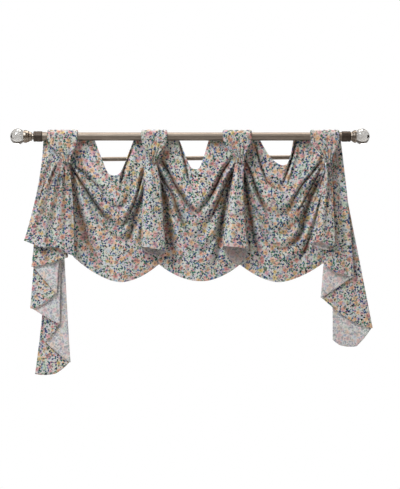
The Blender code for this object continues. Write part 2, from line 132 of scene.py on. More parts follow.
RIGHT_SCOOP = [
    Swoop(54, 10, 283, -89, -103, 102, 10, -93.6, 1.8, 3.2),
    Swoop(35, 9, 278, -128, -106, 84, 10, -93.6, 1.5, 2.6),
    Swoop(26, -28, 271, -163, -110, 63, 8, -93.6, 1.3, 2.2),
    Swoop(20, -50, 271, -172, -129, 42, -28, -97, 1.4, 1.8),
    Swoop(13, -64, 272, -214, -134, 24, -56, -108, 1.6, 1.6),
    Swoop(10, -75, 272, -248, -115, 12, -74, -104, 2.1, 1.6),
    Swoop(9, -82, 272, -267, -138, 9, -82, -120, 2.0, 1.7),
    Swoop(6, -88, 273, -306, -121, 6, -88, -106, 2.0, 1.8),
    Swoop(5, -94, 274, -327, -137, 5, -94, -119, 2.0, 1.9),
    Swoop(5, -100, 275, -351, -124, 5, -100, -107, 2.0, 2.0),
    Swoop(5, -112, 275, -372, -139, 5, -112, -117, 2.0, 2.1),
    Swoop(0, -210, 272, -402, -132, 7, -200, -110, 1.8, 1.9),
    Swoop(-2, -300, 269, -428, -131, 10, -300, -110, 1.7, 1.7),
    Swoop(-2.5, -397, 268, -453, -130, 12, -394, -110, 1.7, 1.7),
]

# A narrow crease pressed into the cloth, in millimetres: its depth, which is below 0 for a ridge, its half
# width, and its points across and up
Crease = namedtuple("Crease", "depth width path")
LEFT_CREASES = [
    Crease(18, 5, [(-378, -93), (-344, -146), (-298, -215), (-254, -274), (-218, -288)]),
    Crease(32, 12, [(-374, -110), (-362, -198), (-346, -253), (-328, -320), (-296, -390), (-266, -445)]),
    Crease(18, 5, [(-150, -100), (-167, -172), (-182, -212), (-214, -280), (-222, -304)]),
    Crease(30, 11, [(-142, -120), (-150, -180), (-180, -253), (-194, -313), (-200, -350)]),
    Crease(14, 4, [(-187, -34), (-211, -95), (-220, -138), (-219, -164), (-240, -170)]),
    Crease(9, 6, [(-372, -86), (-330, -118), (-280, -170), (-240, -205)]),
]
MIDDLE_CREASES = [
    Crease(18, 5, [(-100, -68), (-74, -109), (-48, -159), (-17, -206), (9, -238), (26, -238)]),
    Crease(19, 6, [(-108, -100), (-58, -186), (-41, -236), (-24, -280), (-6, -310)]),
    Crease(34, 14, [(-101, -130), (-86, -186), (-78, -250), (-68, -310), (-52, -380), (-30, -440)]),
    Crease(19, 6, [(126, -64), (94, -112), (73, -159), (53, -199), (28, -236)]),
    Crease(19, 6, [(138, -92), (104, -152), (77, -213), (63, -246), (40, -276)]),
    Crease(30, 11, [(122, -120), (100, -219), (94, -270), (85, -330), (68, -420)]),
    Crease(12, 4, [(-40, -14), (-21, -85), (-11, -132), (9, -168)]),
]
WING_CREASES = [
    Crease(-9, 7, [(-402, -86), (-425, -140), (-440, -220), (-462, -330)]),
    Crease(-8, 6, [(-393, -90), (-402, -140), (-410, -215), (-424, -330)]),
    Crease(-6, 6, [(-388, -92), (-384, -150), (-381, -230), (-384, -350)]),
    Crease(-9, 8, [(-416, -60), (-452, -140), (-474, -215), (-505, -320)]),
    Crease(3, 3.5, [(-417, -84), (-430, -112), (-441, -144), (-450, -190)]),
    Crease(3, 3.5, [(-396, -92), (-394, -132), (-398, -170)]),
    Crease(2, 3.5, [(-456, -135), (-468, -180), (-480, -226)]),
]
TAIL_CREASES = [
    Crease(-8, 6, [(428, -60), (441, -140), (456, -230), (468, -340)]),
    Crease(-8, 7, [(444, -40), (462, -130), (484, -230), (508, -360)]),
    Crease(-6, 6, [(420, -90), (412, -160), (400, -240), (388, -320)]),
    Crease(3, 3.5, [(437, -86), (443, -140), (450, -195)]),
]
RIGHT_CREASES = [
    Crease(18, 5, [(160, -61), (186, -118), (203, -169), (223, -219), (246, -258)]),
    Crease(26, 9, [(156, -85), (166, -152), (180, -235), (194, -310), (208, -360), (228, -425)]),
    Crease(13, 4, [(196, -20), (216, -92), (233, -139), (260, -166), (282, -160)]),
    Crease(17, 4, [(326, -6), (317, -51), (297, -109), (281, -156)]),
    Crease(13, 5, [(405, -74), (371, -118), (344, -149), (317, -192), (297, -236)]),
    Crease(19, 5, [(410, -82), (384, -139), (357, -186), (334, -226), (304, -250)]),
    Crease(32, 12, [(406, -120), (371, -186), (357, -236), (347, -270), (337, -307), (306, -340)]),
    Crease(13, 7, [(372, -300), (353, -350), (334, -386)]),
]

# Levels down a horn, in millimetres: their height, their reach to each side and to the front and back, and
# how far the right side and the back hang lower
Ring = namedtuple("Ring", "z left right front back right_drop back_drop")
LEFT_HORN = [
    Ring(-73, -133, -109, -133.2, -124.5, 0, 0),
    Ring(-98, -146, -107, -140, -124, 0, 0),
    Ring(-140, -149, -99, -149, -121, 1, 2),
    Ring(-190, -151, -93, -155, -120.5, 3, 5),
    Ring(-245, -154, -89, -160, -120.5, 6, 9),
    Ring(-300, -156, -84, -165, -122, 9, 13),
    Ring(-342, -158, -80, -169, -123, 14, 20),
]
RIGHT_HORN = [
    Ring(-73, 137, 162, -133.2, -124.5, 0, 0),
    Ring(-98, 132, 161, -140, -124, 0, 0),
    Ring(-140, 125, 160, -149, -121, 1, 5),
    Ring(-190, 116, 161, -155, -120.5, 2, 14),
    Ring(-245, 109, 165, -160, -120.5, 4, 26),
    Ring(-300, 101, 170, -165, -122, 6, 38),
    Ring(-340, 96, 177, -169, -123, 9, 50),
]

# Fold lines of the end cascades from the inner edge outwards and then front to back, in millimetres: each
# one's places at the top and at the hem, and how far it bows sideways between them
Fold = namedtuple("Fold", "kind top_x top_y top_z hem_x hem_y hem_z bow")
LEFT_CASCADE = [
    Fold("edge", -396, -124.6, -86, -391, -152, -362, 0),
    Fold("turn", -383, -126.8, -79, -364, -160, -371, 6),
    Fold("soft", -397, -129.6, -80, -404, -173, -349, 0),
    Fold("soft", -409, -126, -66, -435, -164, -341, 0),
    Fold("soft", -426, -116, -46, -461, -172, -348, 2),
    Fold("soft", -446, -101, -26, -488, -161, -336, 8),
    Fold("turn", -464, -93, 8, -517, -158, -325, 12),
    Fold("turn", -399, -121.5, -88, -387, -151, -346, 0),
    Fold("soft", -400, -119.5, -89, -383, -149.5, -376, 0),
    Fold("turn", -466, -104.5, -90, -495, -147, -405, 0),
    Fold("turn", -404, -116.5, -90, -418, -141.5, -488, 4),
    Fold("turn", -468, -99.5, -92, -500, -137, -534, 0),
    Fold("turn", -407, -111.5, -92, -409, -131.5, -583, 0),
    Fold("turn", -452, -95, -94, -460, -127, -636, 0),
    Fold("turn", -410, -106.5, -94, -378, -121.5, -702, -2),
    Fold("soft", -432, -100, -95, -425, -118.5, -738, 6),
    Fold("edge", -446, -92, -96, -488, -117, -739, 12),
]
RIGHT_CASCADE = [
    Fold("edge", 428, -124.6, -86, 424, -147, -354, 0),
    Fold("turn", 417, -126.8, -79, 361, -159, -333, 8),
    Fold("soft", 424, -129.6, -79, 398, -171, -327, 2),
    Fold("turn", 433, -123.5, -74, 441, -160, -341, 0),
    Fold("turn", 429, -119, -84, 407, -141, -341, 0),
    Fold("soft", 430, -117.5, -85, 403, -139, -392, 0),
    Fold("soft", 439, -112, -52, 452, -141, -426, 0),
    Fold("soft", 452, -98, -30, 490, -133, -436, 0),
    Fold("turn", 462, -93, 8, 502, -130, -437, 4),
    Fold("turn", 432, -112, -88, 400, -125, -502, 0),
    Fold("turn", 464, -101, -90, 561, -118, -596, 0),
    Fold("soft", 452, -101, -90, 512, -113, -653, 0),
    Fold("soft", 444, -102, -90, 458, -112, -649, 0),
    Fold("edge", 436, -103, -90, 438, -112, -634, 0),
]
TURN_RADIUS_TOP = 1.25 * MM
TURN_RADIUS_HEM = 2.5 * MM

# Levels of a loop from its pinched front end up to the rod, in millimetres, with how far it is pinched and
# how full its pleats are, as shares
LoopLevel = namedtuple("LoopLevel", "y z pinched full")
LOOP_FRONT = [
    LoopLevel(-138, -84, 1.0, 0.7),
    LoopLevel(-135.3, -74, 0.88, 0.9),
    LoopLevel(-131.5, -48, 0.53, 1.0),
    LoopLevel(-127, -22, 0.2, 0.9),
]

# Each sheet spread flat, in metres and square metres
Flat = namedtuple("Flat", "width length area")
LEFT_CASCADE_FLAT = Flat(0.95, 0.66, 0.3)
RIGHT_CASCADE_FLAT = Flat(0.62, 0.58, 0.19)


def length_setting(name, description, default):
    """A length that the panel shows."""
    return FloatProperty(name=name, description=description, default=default, unit="LENGTH")


def colour_setting(name, description, default):
    """A colour that the panel shows."""
    return FloatVectorProperty(name=name, description=description, default=default, subtype="COLOR")


class SwagClothSettings(bpy.types.PropertyGroup):
    """Sizes and colours of the cloth, and the colour of the shade painted into its creases"""

    thickness: length_setting("Cloth", "Thickness of the cotton", 0.9 * MM)
    hem_thickness: length_setting("Hem", "Thickness of a hem", 1.7 * MM)
    hem_width: length_setting("Hem width", "Width of a hem", 9 * MM)
    flower_size: length_setting("Flower spacing", "Distance between large flowers", 21 * MM)
    wrinkle: length_setting("Wrinkles", "Height of small creases", 1.0 * MM)
    ground: colour_setting("Ground", "Colour between the flowers", srgb(198, 200, 198))
    # Painted shade: the colour that the cloth's colour is darkened towards in creases, pleat troughs, beside
    # ridges and inside the horns; it stands in for shade and is not a dye
    crease_shade: colour_setting("Crease", "Tint of the cloth deep in a crease", (0.3, 0.2, 0.15))
    wrong_side: colour_setting("Wrong side", "Colour of the cloth's back", srgb(218, 217, 222))


class SwagHardwareSettings(bpy.types.PropertyGroup):
    """Sizes and colours of the rods and their fittings"""

    nickel: colour_setting("Nickel", "Colour of rods and cups", srgb(132, 122, 112))
    bronze: colour_setting("Bronze", "Colour of the brackets", srgb(74, 66, 60))
    ribs: IntProperty(name="Ribs", description="Raised ribs on a finial's cup", default=3, min=0, max=6)


def smooth(t):
    """A step from 0 to 1 that starts and ends level."""
    return t * t * (3 - 2 * t)


def wave(across, down, seed):
    """Smooth noise from -1 to 1."""
    return noise.noise(Vector((across + seed, down - seed, seed)))


def more_rows(rows, steps):
    """The same rows with others between them, on a smooth curve through each column."""
    ends = [rows[0], *rows, rows[-1]]
    result = []
    for before, start, end, after in zip(ends, ends[1:], ends[2:], ends[3:]):
        for step in range(steps):
            t = step / steps
            slope = end - before
            bend = 2 * before - 5 * start + 4 * end - after
            twist = 3 * (start - end) + after - before
            result.append(start + 0.5 * t * (slope + t * (bend + t * twist)))
    result.append(rows[-1])
    return result


def lengths_along(grid, axis):
    """How far each point of a grid is along its row or column, in metres."""
    steps = np.linalg.norm(np.diff(grid, axis=axis), axis=2)
    total = np.cumsum(steps, axis=axis)
    start = np.zeros_like(np.take(total, [0], axis=axis))
    return np.concatenate([start, total], axis=axis)


def third_corner(first, second, from_first, from_second):
    """The flat point at these two distances from two others, on the left of the way from first to second."""
    base = second - first
    length = max(np.hypot(*base), TINY)
    along = (from_first**2 - from_second**2 + length**2) / (2 * length)
    aside = math.sqrt(max(from_first**2 - along**2, 0.0))
    return first + (along * base + aside * np.array([-base[1], base[0]])) / length


def unrolled(grid):
    """Where each point of a fanned-out cloth lies once the cloth is rolled flat, column by column."""
    def span(a, b):
        return float(np.linalg.norm(a - b))

    top, hem = grid[0], grid[-1]
    tops = [np.array([0.0, 0.0])]
    hems = [np.array([0.0, -span(top[0], hem[0])])]
    for j in range(1, grid.shape[1]):
        tops.append(third_corner(tops[-1], hems[-1], span(top[j - 1], top[j]), span(hem[j - 1], top[j])))
        hems.append(third_corner(tops[-1], hems[-1], span(top[j], hem[j]), span(hem[j - 1], hem[j])))
    down = lengths_along(grid, 0)
    share = (down / down[-1])[:, :, None]
    return np.array(tops) * (1 - share) + np.array(hems) * share


def new_object(name, data):
    """An object with this data in the scene."""
    item = bpy.data.objects.new(name, data)
    bpy.context.scene.collection.objects.link(item)
    return item


def cloth_piece(node, rows, shade, hems, flip=False, layout="wrapped"):
    """A thin sheet of cloth through a grid of points, with its print laid out in metres and hemmed edges."""
    name = f"swag_{node}"
    settings = bpy.context.scene.swag_cloth
    grid = np.array(rows, float)
    down, across = grid.shape[:2]
    if flip:
        grid, shade = grid[:, ::-1], shade[:, ::-1]
    u, v = lengths_along(grid, 1), lengths_along(grid, 0)
    edges = {"l": u, "r": u[:, -1:] - u, "t": v, "b": v[-1:] - v}
    to_edge = np.min([edges[side] for side in hems], axis=0)
    place = np.stack([u - u[:, across // 2][:, None], v], axis=2)
    if layout == "fan":
        place = unrolled(grid)
    if layout == "front":
        place = grid[:, :, [0, 2]]
    place = place + PRINT_SHIFT * len(bpy.data.meshes)
    index = np.arange(down * across).reshape(down, across)
    quads = np.stack([index[:-1, :-1], index[1:, :-1], index[1:, 1:], index[:-1, 1:]], axis=-1).reshape(-1, 4)
    mesh = bpy.data.meshes.new(name)
    mesh.from_pydata(grid.reshape(-1, 3).tolist(), [], quads.tolist())
    corners = np.zeros(len(mesh.loops), np.int32)
    mesh.loops.foreach_get("vertex_index", corners)
    layers = {
        "Print": place,
        "Hem": np.stack([to_edge, u + v], axis=2),
        # The Crease layer holds painted shade: how far the cloth's colour is darkened towards the crease
        # shade colour
        "Crease": np.stack([shade, shade], axis=2),
    }
    for layer, flat_places in layers.items():
        values = flat_places.reshape(-1, 2)[corners].reshape(-1)
        mesh.uv_layers.new(name=layer).data.foreach_set("uv", values.astype(np.float32))
    mesh.shade_smooth()
    piece = new_object(name, mesh)
    mesh.materials.append(bpy.data.materials["printed_cotton_face"])
    mesh.materials.append(bpy.data.materials["printed_cotton_back"])
    hem = piece.vertex_groups.new(name="Hem")
    in_hem = np.flatnonzero(to_edge.reshape(-1) < settings.hem_width)
    hem.add(in_hem.tolist(), 1.0, "REPLACE")
    solid = piece.modifiers.new("Cloth thickness", "SOLIDIFY")
    solid.thickness = settings.hem_thickness
    solid.offset = 0
    solid.vertex_group = "Hem"
    solid.thickness_vertex_group = settings.thickness / settings.hem_thickness
    solid.material_offset = 1
    solid.material_offset_rim = 0
    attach(piece, BODY)
    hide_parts(node)


def sag(steps, roundness, level):
    """How far a fold line has risen towards its end, after a share of its half that lies nearly level."""
    if not level:
        return steps**roundness
    softening = 0.12
    past = steps - level
    rise = past + np.hypot(past, softening)
    return (rise - rise[0]) / (rise[-1] - rise[0])


def swoop_line(swoop, left_gather, right_gather, half_columns):
    """The points of one fold line, from the left gather down to its lowest point and up to the right one."""
    low = np.array([swoop.low_x, swoop.low_y, swoop.low_z])
    left = np.array([left_gather.x + swoop.left_in, swoop.end_y, swoop.left_z])
    right = np.array([right_gather.x - swoop.right_in, swoop.end_y, swoop.right_z])
    steps = np.linspace(0, 1, half_columns + 1)
    halves = []
    for end, roundness in ((left, swoop.round_l), (right, swoop.round_r)):
        share = np.stack([steps, smooth(steps), sag(steps, roundness, swoop.level)], axis=1)
        halves.append(low + (end - low) * share)
    return np.concatenate([halves[0][::-1], halves[1][1:]]) * MM


def press_crease(grid, crease):
    """Press a crease into a surface, deepest by the gather, with a raised lip at both its sides.

    The shade that it gives back is painted into the cloth's colour: it lies in the trough of a crease and
    beside a ridge.
    """
    start_depth, start_gain, end_gain, end_power = 0.35, 5, 2.4, 0.8
    lip_place, tallest_lip, lip_rise = 2.1, 0.32, 4.5
    dark_width, width_power, ridge_shade = 5, 0.7, 0.6
    path = np.array(crease.path, float) * MM
    width = crease.width * MM
    lengths = np.linalg.norm(np.diff(path, axis=0), axis=1)
    starts = np.concatenate([[0], np.cumsum(lengths)])
    nearest = np.full(grid.shape[:2], np.inf)
    share = np.zeros(grid.shape[:2])
    for first, second, start, length in zip(path, path[1:], starts, lengths):
        along = (second - first) / length
        from_first = grid[:, :, [0, 2]] - first
        t = np.clip(from_first @ along, 0, length)
        gap = np.linalg.norm(from_first - t[:, :, None] * along, axis=2)
        closer = gap < nearest
        nearest[closer] = gap[closer]
        share[closer] = (start + t[closer]) / starts[-1]
    strength = np.minimum(1, share * start_gain + start_depth)
    strength = strength * np.minimum(1, (1 - share) * end_gain) ** end_power
    trough = np.exp(-((nearest / width) ** 2))
    lip = np.exp(-(((nearest - lip_place * width) / width) ** 2))
    lip_height = min(tallest_lip, lip_rise / crease.depth) if crease.depth > 0 else 0
    grid[:, :, 1] += crease.depth * MM * strength * (trough - lip_height * lip)
    if crease.depth < 0:
        return ridge_shade * strength * lip
    return strength * trough**3 * (dark_width / crease.width) ** width_power


def scoop_rows(table, left_gather, right_gather, creases, seed):
    """The whole surface of a scoop, with its main creases, soft folds and small wrinkles, and its shade."""
    half_columns, steps = 84, 14
    smooth_rows, smooth_columns = 0.22, 0.16
    pleat_count, pleat_wander, pleat_depth, pleat_reach = 11, 0.8, 2.4 * MM, 0.24
    soft_depth = 4.0 * MM
    pleat_rise, soft_rise, wrinkle_rise, top_rise = 25, 4, 6, 10
    wrinkle = bpy.context.scene.swag_cloth.wrinkle
    rows = more_rows([swoop_line(s, left_gather, right_gather, half_columns) for s in table], steps)
    grid = np.array(rows)
    down, across = grid.shape[:2]
    for i in range(down):
        r = i / (down - 1)
        for j in range(across):
            s = 2 * j / (across - 1) - 1
            inside = 1 - abs(s)
            if r < smooth_rows and inside < smooth_columns:
                continue
            turns = pleat_count * r + pleat_wander * wave(r * 6, 0.5, seed)
            pleats = pleat_depth * math.exp(-inside / pleat_reach) * math.sin(2 * math.pi * turns)
            soft = soft_depth * wave(s * 1.3, r * 9, seed)
            small = wrinkle * wave(s * 5, r * 22, seed + 7)
            moved = pleats * min(1, inside * pleat_rise) + soft * min(1, inside * soft_rise)
            moved += small * min(1, inside * wrinkle_rise)
            grid[i, j, 1] += moved * min(1, r * top_rise)
    shade = np.max([press_crease(grid, crease) for crease in creases], axis=0)
    return grid, shade


def horn_rows(table, seed):
    """The whole surface of a horn, from one side of its back seam round to the other, and its shade."""
    columns, steps = 96, 10
    flute_count, flute_depth, mouth_power = 3, 0.1, 1.5
    pleat_count, pleat_depth, pleat_reach = 8, 1.1 * MM, 0.1
    soft_depth, behind_depth, back_shade = 5.0 * MM, 3.5 * MM, 0.4
    rows = []
    for ring in table:
        row = []
        for i in range(columns + 1):
            turn = math.pi / 2 + 2 * math.pi * i / columns
            side, depth = math.cos(turn), math.sin(turn)
            flute = 1 + flute_depth * math.cos(flute_count * turn) if depth < 0 else 1
            x = (ring.left + ring.right) / 2 + (ring.right - ring.left) / 2 * side
            y = (ring.front + ring.back) / 2 + (ring.back - ring.front) / 2 * depth * flute
            z = ring.z - ring.right_drop * (1 + side) / 2 - ring.back_drop * max(0.0, depth) ** mouth_power
            row.append((x * MM, y * MM, z * MM))
        rows.append(np.array(row))
    grid = np.array(more_rows(rows, steps))
    down, across = grid.shape[:2]
    for i in range(down):
        r = i / (down - 1)
        for j in range(across):
            turn = 2 * math.pi * j / columns
            front = max(0.0, -math.cos(turn)) ** 0.5
            pleats = pleat_depth * math.exp(-r / pleat_reach) * math.sin(pleat_count * turn) * front
            soft = soft_depth * wave(j / across * 9, r * 1.2, seed) * min(1, r * 3) * front
            behind = behind_depth * wave(j / across * 14, r, seed + 3) * r * (0 if front else 1)
            grid[i, j, 1] -= abs(pleats) + soft + behind * abs(math.sin(turn))
    # Painted shade: the back half of the horn, seen inside its mouth, is darkened in colour
    shade = back_shade * np.sqrt(np.maximum(0, np.cos(np.linspace(0, 2 * math.pi, across))))
    return grid, np.tile(shade, (down, 1))


def cascade_level(table, down, turn_points, panel_points, seed):
    """The section of a cascade at one level, given as a share of the way from its top to its hem.

    Where a tail turns back at the window's side, its hem is a little rounder than the solid's.
    """
    swell_depth, hem_sag, wide_panel = 0.9, 3.5, 40
    power_before_turn, power_after_turn = 1.15, 1.4
    radius = (TURN_RADIUS_TOP + (TURN_RADIUS_HEM - TURN_RADIUS_TOP) * down) / MM
    places = []
    for fold in table:
        x = fold.top_x + (fold.hem_x - fold.top_x) * down + fold.bow * 4 * down * (1 - down)
        y = fold.top_y + (fold.hem_y - fold.top_y) * smooth(down)
        z = fold.top_z + (fold.hem_z - fold.top_z) * down
        places.append(np.array([x, y, z]))
    knots, rounded = [], []
    for i, (fold, place) in enumerate(zip(table, places)):
        folded_on = fold.kind == "turn" and table[i + 1].kind == "turn"
        rounded.append(folded_on and fold.hem_x * (fold.hem_x - table[i - 1].hem_x) < 0)
        if fold.kind == "turn":
            side = 1 if fold.hem_x > table[i - 1].hem_x else -1
            quarter = math.copysign(math.pi / 2, table[i + 1].hem_y - table[i - 1].hem_y)
            arc = []
            for angle in np.linspace(-quarter, quarter, turn_points):
                aside = side * radius * (math.cos(angle) - 1)
                arc.append(place + np.array([aside, radius * math.sin(angle), 0]))
            knots.append(arc)
        else:
            knots.append([place])
    points = list(knots[0])
    for i, (before, after) in enumerate(zip(knots, knots[1:])):
        start, end = before[-1], after[0]
        for step in range(1, panel_points):
            t = step / panel_points
            ease = smooth(t) if table[i].kind == table[i + 1].kind == "soft" else t
            place = start + (end - start) * t
            place[1] = start[1] + (end[1] - start[1]) * ease
            swell = swell_depth * math.sin(math.pi * t) * down
            place[1] += swell * wave(i * 3.1 + t * 2, down * 5, seed)
            if abs(end[0] - start[0]) > wide_panel:
                place[2] -= hem_sag * math.sin(math.pi * t) * down**4
            if rounded[i] or rounded[i + 1]:
                bulge = t**power_before_turn if rounded[i + 1] else 1 - (1 - t) ** power_after_turn
                place[2] += (end[2] - start[2]) * (bulge - t) * down**3
            points.append(place)
        points.extend(after)
    return np.array(points) * MM


def cascade_rows(table, creases, seed):
    """The whole surface of a cascade, with soft ridges down the panels in front, and its shade."""
    levels, turn_points, panel_points, fade_power = 72, 9, 12, 0.4
    grid = []
    for i in range(levels):
        grid.append(cascade_level(table, i / (levels - 1), turn_points, panel_points, seed))
    grid = np.array(grid)
    kinds = [fold.kind for fold in table]
    first = kinds.index("turn")
    last = first + 1 + kinds[first + 1:].index("turn")
    start = first * panel_points + turn_points
    stop = start + (last - first) * panel_points - 1
    front = grid[:, start:stop].copy()
    shade = np.zeros(grid.shape[:2])
    shade[:, start:stop] = np.max([press_crease(front, crease) for crease in creases], axis=0)
    fade = np.sin(np.linspace(0, math.pi, front.shape[1])) ** fade_power
    grid[:, start:stop] += (front - grid[:, start:stop]) * fade[None, :, None]
    return grid, shade


def loop_rows(gather, seed):
    """The whole surface of a loop, from its pinched front end over the rod and down behind, and its shade."""
    columns, over_steps, steps = 90, 12, 3
    gap, back_drop, pinched_half = 0.6, 6, 12
    pleat_count, pleat_height, pleat_wander, least_pleated = 5, 8.0, 0.03, 0.35
    fold_power, crest_power, crest, crest_range, base, even_height = 0.7, 0.9, 0.7, 0.45, 0.25, 0.75
    plain_shade, rod_shade, pinch_shade = 0.14, 0.1, 0.65
    cloth = bpy.context.scene.swag_cloth.hem_thickness / MM
    radius = ROD_RADIUS / MM + gap + cloth / 2
    axis = ROD_AXIS.y / MM
    path = list(LOOP_FRONT)
    for step in range(over_steps + 1):
        angle = math.pi * (1 - step / over_steps)
        full = math.sin(angle) if step > over_steps / 2 else 1.0
        path.append((axis + radius * math.cos(angle), radius * math.sin(angle), 0.0, full))
    path.append((axis + radius, -back_drop, 0.0, 0.0))
    path = more_rows([np.array(level) for level in path], steps)
    rows, shade = [], []
    for k, (y, z, pinched, full) in enumerate(path):
        pinched = smooth(min(1, max(0, pinched)))
        left = gather.loop_left + (gather.x - pinched_half - gather.loop_left) * pinched
        right = gather.loop_right + (gather.x + pinched_half - gather.loop_right) * pinched
        away = np.array([y - axis, max(z, 0.0)])
        away = away / np.hypot(*away)
        row, shade_row = [], []
        for i in range(columns + 1):
            across = i / columns
            bent = across + pleat_wander * wave(across * 4, 0.3, seed)
            fold = (pleat_count * bent) % 1
            pleat = math.sin(math.pi * fold**fold_power) ** crest_power
            pleat = pleat * (crest + crest_range * wave(across * 7, k * 0.03, seed + 3)) + base
            pleat = even_height + (pleat - even_height) * (least_pleated + (1 - least_pleated) * pinched)
            proud = pleat_height * max(0, full) * pleat * (1 if 0 < i < columns else 0.5)
            row.append((left + (right - left) * across, y + away[0] * proud, z + away[1] * proud))
            # Painted shade: the whole loop is darkened a little, its pleat troughs more, and most where it is
            # pinched
            trough = (1 - math.sin(math.pi * fold)) ** 2
            shade_row.append(plain_shade + trough * (rod_shade + pinch_shade * pinched))
        rows.append(np.array(row) * MM)
        shade.append(shade_row)
    return rows, np.array(shade)


def feed(tree, socket, value):
    """Link a socket to another one, or give it a value."""
    if isinstance(value, bpy.types.NodeSocket):
        tree.links.new(value, socket)
    else:
        socket.default_value = value


def fill(tree, node, **values):
    """Feed a node's inputs by their names, or by in_ and a number."""
    for key, value in values.items():
        socket = node.inputs[int(key[3:])] if key.startswith("in_") else node.inputs[key.replace("_", " ")]
        feed(tree, socket, value)
    return node


def add_node(tree, kind, **values):
    """A node of this kind, with its settings, whose names start with set_, and its inputs."""
    node = tree.nodes.new(kind)
    for key in [key for key in values if key.startswith("set_")]:
        setattr(node, key[4:], values.pop(key))
    return fill(tree, node, **values)


def axes(tree, vector):
    """The first two values of a vector, across and up."""
    return add_node(tree, "ShaderNodeSeparateXYZ", Vector=vector).outputs[:2]


def calc(tree, operation, *inputs, clamp=False):
    """The output of a Math node."""
    values = {f"in_{i}": value for i, value in enumerate(inputs)}
    return add_node(tree, "ShaderNodeMath", set_operation=operation, set_use_clamp=clamp, **values).outputs[0]


def vector_calc(tree, operation, *inputs):
    """The vector output of a Vector Math node."""
    node = add_node(tree, "ShaderNodeVectorMath", set_operation=operation)
    for i, value in enumerate(inputs):
        feed(tree, node.inputs["Scale" if operation == "SCALE" and i == 1 else i], value)
    return node.outputs[0]


def mix_colour(tree, share, first, second, blend="MIX"):
    """The output of a colour Mix node."""
    node = add_node(tree, "ShaderNodeMix", set_data_type="RGBA", set_blend_type=blend)
    for name, value in (("Factor", share), ("A", first), ("B", second)):
        kind = "VALUE" if name == "Factor" else "RGBA"
        if kind == "RGBA" and not isinstance(value, bpy.types.NodeSocket):
            value = (*value[:3], 1)
        feed(tree, next(s for s in node.inputs if s.name == name and s.type == kind), value)
    return next(s for s in node.outputs if s.type == "RGBA")


def ramp(tree, share, stops, interpolation="LINEAR"):
    """The colour output of a colour ramp through (place, colour) stops."""
    node = tree.nodes.new("ShaderNodeValToRGB")
    node.color_ramp.interpolation = interpolation
    elements = node.color_ramp.elements
    while len(elements) > 1:
        elements.remove(elements[-1])
    for i, (place, colour) in enumerate(stops):
        element = elements[0] if i == 0 else elements.new(place)
        element.position = place
        element.color = (*colour[:3], 1)
    tree.links.new(share, node.inputs[0])
    return node.outputs[0]


def new_group(name, inputs, outputs):
    """An empty shader node group, with its input and output nodes."""
    group = bpy.data.node_groups.new(name, "ShaderNodeTree")
    for label, kind, default in inputs:
        socket = group.interface.new_socket(name=label, in_out="INPUT", socket_type=kind)
        if default is not None:
            socket.default_value = default
    for label, kind in outputs:
        group.interface.new_socket(name=label, in_out="OUTPUT", socket_type=kind)
    return group, group.nodes.new("NodeGroupInput").outputs, group.nodes.new("NodeGroupOutput").inputs


# One layer of the print: a flower or a leaf, its spacing as a share of the large flowers' spacing, where its
# layer starts in metres, its size and a leaf's width as shares of its own spacing, and a flower's petals and
# how soft its rim is. Each colour comes with the share of the motifs that lies before it.
Motif = namedtuple("Motif", "form spacing offset size colours petals width soft", defaults=(0, 0, 0))


def cells(tree, place, spacing, offset):
    """Scattered points on the cloth: each one's random colour, and the place measured from it in spacings."""
    moved = vector_calc(tree, "ADD", place, offset)
    scaled = vector_calc(tree, "SCALE", moved, 1 / spacing)
    texture = add_node(
        tree, "ShaderNodeTexVoronoi", set_voronoi_dimensions="2D", set_feature="F1", Vector=scaled, Scale=1.0,
        Randomness=0.85,
    )
    local = vector_calc(tree, "SUBTRACT", scaled, texture.outputs["Position"])
    random = add_node(tree, "ShaderNodeSeparateColor", Color=texture.outputs["Color"])
    return local, texture.outputs["Distance"], random.outputs


def petal_mask(tree, local, distance, random, motif):
    """White inside a flower that is turned by a random angle and has a random size."""
    petal_depth, full_turn, mixing, least_size, size_range = 0.24, 6.28, 7.3, 0.75, 0.5
    across, up = axes(tree, local)
    angle = calc(tree, "ARCTAN2", up, across)
    turned = calc(tree, "MULTIPLY_ADD", random, full_turn, calc(tree, "MULTIPLY", angle, motif.petals))
    rim = calc(tree, "MULTIPLY_ADD", calc(tree, "COSINE", turned), motif.size * petal_depth, motif.size)
    other_random = calc(tree, "FRACT", calc(tree, "MULTIPLY", random, mixing))
    rim = calc(tree, "MULTIPLY", rim, calc(tree, "MULTIPLY_ADD", other_random, size_range, least_size))
    inside = calc(tree, "DIVIDE", calc(tree, "SUBTRACT", rim, distance), motif.soft)
    return calc(tree, "ADD", inside, 0.5, clamp=True)


def leaf_mask(tree, local, random, motif):
    """White inside a pointed leaf that lies at a random angle."""
    full_turn, point_power, edge_gain = 6.28, 1.6, 6.0
    turned = add_node(
        tree, "ShaderNodeVectorRotate", set_rotation_type="Z_AXIS", Vector=local,
        Angle=calc(tree, "MULTIPLY", random, full_turn),
    ).outputs[0]
    across, up = axes(tree, turned)
    along = calc(tree, "ABSOLUTE", calc(tree, "DIVIDE", across, motif.size))
    aside = calc(tree, "ABSOLUTE", calc(tree, "DIVIDE", up, motif.width))
    half_width = calc(tree, "SUBTRACT", 1.0, calc(tree, "POWER", along, point_power))
    return calc(tree, "MULTIPLY", calc(tree, "SUBTRACT", half_width, aside), edge_gain, clamp=True)


